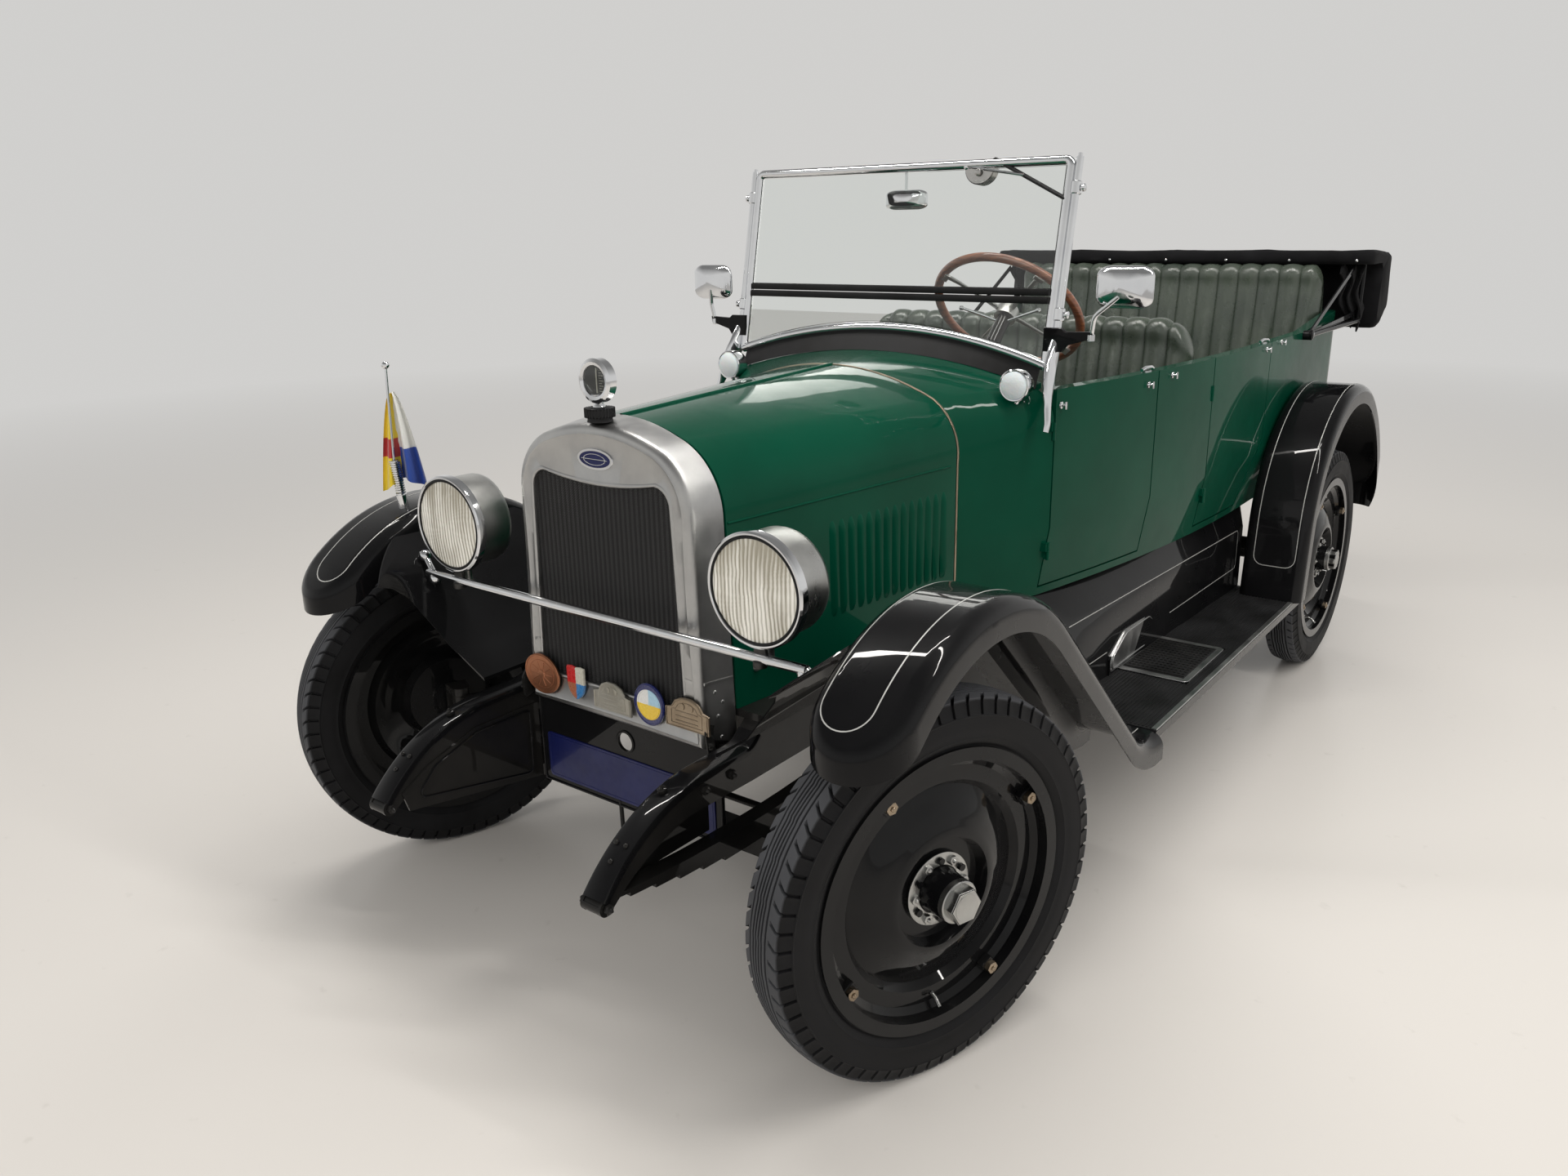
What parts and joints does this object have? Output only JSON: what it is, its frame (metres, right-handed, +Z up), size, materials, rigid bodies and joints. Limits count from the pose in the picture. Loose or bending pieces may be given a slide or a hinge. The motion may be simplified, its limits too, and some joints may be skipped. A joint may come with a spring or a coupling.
{
  "type": "vintage open touring car",
  "caption": "Open four-door touring car of the 1920s with folded top, disc wheels, opening doors and hood, linked steering and a rear spare.",
  "frame": {"origin": "on the ground under the middle of the car's box", "axes": "+X to the car's left, +Y to its rear, +Z up"},
  "size_m": [1.788, 3.832, 1.6948],
  "materials": {
    "body_green": "gloss",
    "fender_black": "gloss",
    "frame_black": "satin",
    "wheel_black": "gloss",
    "nickel": "satin",
    "bright_chrome": "polished",
    "core_black": "matt",
    "iron": "rough",
    "tyre": "matt",
    "glass": "clear",
    "lens": "fluted",
    "leather": "satin",
    "canvas": "matt",
    "wood": "varnished",
    "steel": "satin",
    "aluminium": "worn",
    "trim_rubber": "matt",
    "bronze": "worn",
    "plate_blue": "satin",
    "flag_cloth": "matt",
    "silver_line": "satin",
    "milk_glass": "frosted"
  },
  "bodies": {
    "root": {"frame": "frame_black", "front_axle": "frame_black", "rear_axle": "frame_black", "springs": "frame_black", "engine": "iron", "radiator_shell": "nickel", "radiator_core": "core_black", "radiator_cap": "bright_chrome", "headlamps": "nickel", "headlamp_lenses": "lens", "lamp_bar": "bright_chrome", "plate_panel": "fender_black", "body": "body_green", "floor": "wood", "front_seat": "leather", "rear_seat": "leather", "folded_top": "canvas", "top_irons": "frame_black", "windshield_frame": "bright_chrome", "windshield_glass": "glass", "front_fenders": "fender_black", "rear_fenders": "fender_black", "running_boards": "fender_black", "steering_column": "frame_black", "dashboard": "body_green", "controls": "steel", "spare_wheel": "wheel_black", "spare_tyre": "tyre", "small_lamps": "nickel", "flag_staff": "steel"},
    "hood_left": {"hood_left": "body_green"},
    "hood_right": {"hood_right": "body_green"},
    "door_front_left": {"door_front_left": "body_green"},
    "door_front_right": {"door_front_right": "body_green"},
    "door_rear_left": {"door_rear_left": "body_green"},
    "door_rear_right": {"door_rear_right": "body_green"},
    "knuckle_left": {"knuckle_left": "frame_black"},
    "knuckle_right": {"knuckle_right": "frame_black"},
    "tie_rod": {"tie_rod": "frame_black"},
    "steering_wheel": {"steering_wheel": "wood"},
    "wheel_front_left": {"wheel_front_left": "wheel_black", "tyre_front_left": "tyre"},
    "wheel_front_right": {"wheel_front_right": "wheel_black", "tyre_front_right": "tyre"},
    "wheel_rear_left": {"wheel_rear_left": "wheel_black", "tyre_rear_left": "tyre"},
    "wheel_rear_right": {"wheel_rear_right": "wheel_black", "tyre_rear_right": "tyre"}
  },
  "joints": [
    {"name": "hood_left_hinge", "type": "hinge", "parent": "root", "child": "hood_left", "pos_m": [0, -0.716, 1.214], "axis": [0, -0.9994, -0.0339], "range_deg": [0, 45]},
    {"name": "hood_right_hinge", "type": "hinge", "parent": "root", "child": "hood_right", "pos_m": [0, -0.716, 1.214], "axis": [0, 0.9994, 0.0339], "range_deg": [0, 45]},
    {"name": "door_front_left_hinge", "type": "hinge", "parent": "root", "child": "door_front_left", "pos_m": [0.503, -0.504, 0.9], "axis": [0, 0, -1], "range_deg": [0, 65]},
    {"name": "door_front_right_hinge", "type": "hinge", "parent": "root", "child": "door_front_right", "pos_m": [-0.503, -0.504, 0.9], "axis": [0, 0, 1], "range_deg": [0, 65]},
    {"name": "door_rear_left_hinge", "type": "hinge", "parent": "root", "child": "door_rear_left", "pos_m": [0.62065, 0.296, 0.9], "axis": [0, 0, -1], "range_deg": [0, 65]},
    {"name": "door_rear_right_hinge", "type": "hinge", "parent": "root", "child": "door_rear_right", "pos_m": [-0.62065, 0.296, 0.9], "axis": [0, 0, 1], "range_deg": [0, 65]},
    {"name": "kingpin_left", "type": "hinge", "parent": "root", "child": "knuckle_left", "pos_m": [0.6615, -1.432, 0.3815], "axis": [0, 0, 1], "range_deg": [-11.5, 48.5]},
    {"name": "kingpin_right", "type": "hinge", "parent": "root", "child": "knuckle_right", "pos_m": [-0.6615, -1.432, 0.3815], "axis": [0, 0, 1], "range_deg": [-11.5, 48.5]},
    {"name": "tie_rod_pivot", "type": "hinge", "parent": "knuckle_left", "child": "tie_rod", "pos_m": [0.70275, -1.30872, 0.3145], "axis": [0, 0, 1], "range_deg": [-48.5, 11.5]},
    {"name": "steering_wheel_turn", "type": "hinge", "parent": "root", "child": "steering_wheel", "pos_m": [0.211, -0.19, 1.311], "axis": [0, 0.7314, 0.682], "range_deg": [-92, 388]},
    {"name": "wheel_front_left_spin", "type": "hinge", "parent": "knuckle_left", "child": "wheel_front_left", "pos_m": [0.73262, -1.4558, 0.3815], "axis": [0.9483, -0.3173, 0], "continuous": true},
    {"name": "wheel_front_right_spin", "type": "hinge", "parent": "knuckle_right", "child": "wheel_front_right", "pos_m": [-0.73262, -1.4082, 0.3815], "axis": [0.9483, -0.3173, 0], "continuous": true},
    {"name": "wheel_rear_left_spin", "type": "hinge", "parent": "root", "child": "wheel_rear_left", "pos_m": [0.7365, 1.184, 0.3815], "axis": [1, 0, 0], "continuous": true},
    {"name": "wheel_rear_right_spin", "type": "hinge", "parent": "root", "child": "wheel_rear_right", "pos_m": [-0.7365, 1.184, 0.3815], "axis": [1, 0, 0], "continuous": true}
  ],
  "couplings": [
    {"joint": "kingpin_right", "follows": "kingpin_left", "ratio": 1},
    {"joint": "tie_rod_pivot", "follows": "kingpin_left", "ratio": -1},
    {"joint": "steering_wheel_turn", "follows": "kingpin_left", "ratio": 8}
  ]
}
